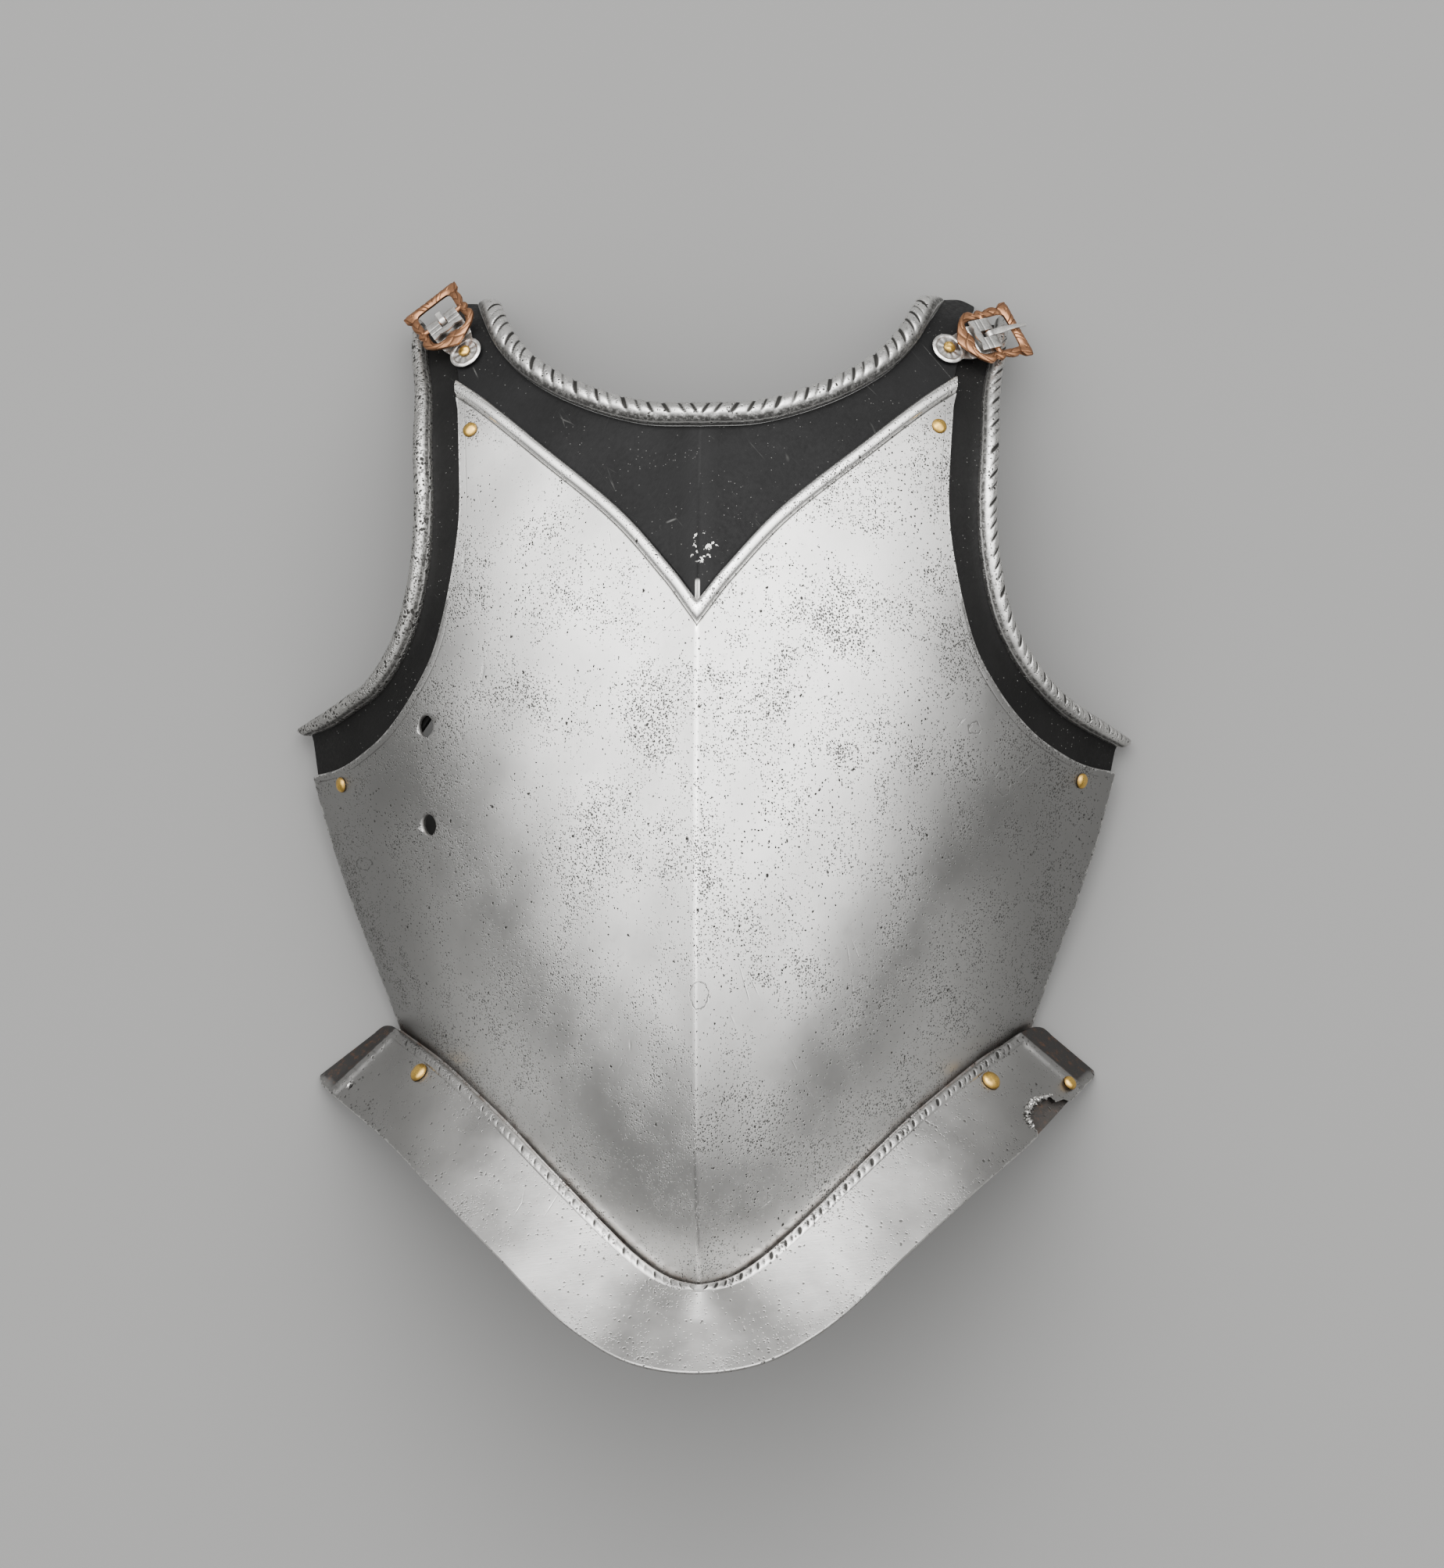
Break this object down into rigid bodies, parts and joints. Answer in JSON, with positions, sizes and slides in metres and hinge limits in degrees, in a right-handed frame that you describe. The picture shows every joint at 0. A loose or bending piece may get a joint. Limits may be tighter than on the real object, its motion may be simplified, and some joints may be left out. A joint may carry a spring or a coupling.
{
  "type": "breastplate",
  "caption": "Steel breastplate with a pointed waist, black V neck panel, riveted arm gussets, flared waist plate and swivelling strap buckles at the shoulders.",
  "frame": {"origin": "centre of the underside of the bounding box, on the surface that it lies on", "axes": "+X to the wearer's left, +Y towards the neck, +Z towards the front of the chest"},
  "size_m": [0.3444, 0.4362, 0.1708],
  "materials": {
    "field_steel": "old polished plate, pitted and scratched",
    "black_steel": "blackened, matt",
    "rivet_brass": "worn polish",
    "buckle_alloy": "reddish copper alloy, carved",
    "fitting_steel": "filed, worn bright"
  },
  "bodies": {
    "breastplate": {"main_plate": "field_steel", "arm_gusset_right": "black_steel", "arm_gusset_left": "black_steel", "waist_plate": "field_steel", "waist_patch": "black_steel", "gusset_rivet_shoulder_right": "rivet_brass", "gusset_rivet_flank_right": "rivet_brass", "waist_rivet_right": "rivet_brass", "gusset_rivet_shoulder_left": "rivet_brass", "gusset_rivet_flank_left": "rivet_brass", "waist_rivet_left": "rivet_brass", "patch_rivet": "rivet_brass", "buckle_washer_right": "fitting_steel", "buckle_rivet_right": "rivet_brass", "buckle_washer_left": "fitting_steel", "buckle_rivet_left": "rivet_brass"},
    "right_hasp": {"buckle_hasp_right": "fitting_steel"},
    "right_frame": {"buckle_frame_right": "buckle_alloy"},
    "right_tongue": {"buckle_tongue_right": "fitting_steel"},
    "left_hasp": {"buckle_hasp_left": "fitting_steel"},
    "left_frame": {"buckle_frame_left": "buckle_alloy"},
    "left_tongue": {"buckle_tongue_left": "fitting_steel"}
  },
  "joints": [
    {"name": "right_hasp_swivel", "type": "hinge", "parent": "breastplate", "child": "right_hasp", "pos_m": [-0.09789, 0.18688, 0.03702], "axis": [-0.3951, 0.5326, 0.7485], "range_deg": [-15, 85]},
    {"name": "right_frame_hinge", "type": "hinge", "parent": "right_hasp", "child": "right_frame", "pos_m": [-0.10869, 0.20115, 0.02751], "axis": [-0.7992, -0.601, 0.0059], "range_deg": [-4, 10]},
    {"name": "right_tongue_hinge", "type": "hinge", "parent": "right_frame", "child": "right_tongue", "pos_m": [-0.10869, 0.20115, 0.02751], "axis": [-0.7992, -0.601, 0.0059], "range_deg": [-124, 0]},
    {"name": "left_hasp_swivel", "type": "hinge", "parent": "breastplate", "child": "left_hasp", "pos_m": [0.09785, 0.18688, 0.03702], "axis": [0.3951, 0.5326, 0.7485], "range_deg": [-60, 44]},
    {"name": "left_frame_hinge", "type": "hinge", "parent": "left_hasp", "child": "left_frame", "pos_m": [0.11541, 0.19351, 0.02938], "axis": [-0.4586, 0.8203, -0.3417], "range_deg": [-4, 10]},
    {"name": "left_tongue_hinge", "type": "hinge", "parent": "left_frame", "child": "left_tongue", "pos_m": [0.11541, 0.19351, 0.02938], "axis": [-0.4586, 0.8203, -0.3417], "range_deg": [-124, 0]}
  ]
}
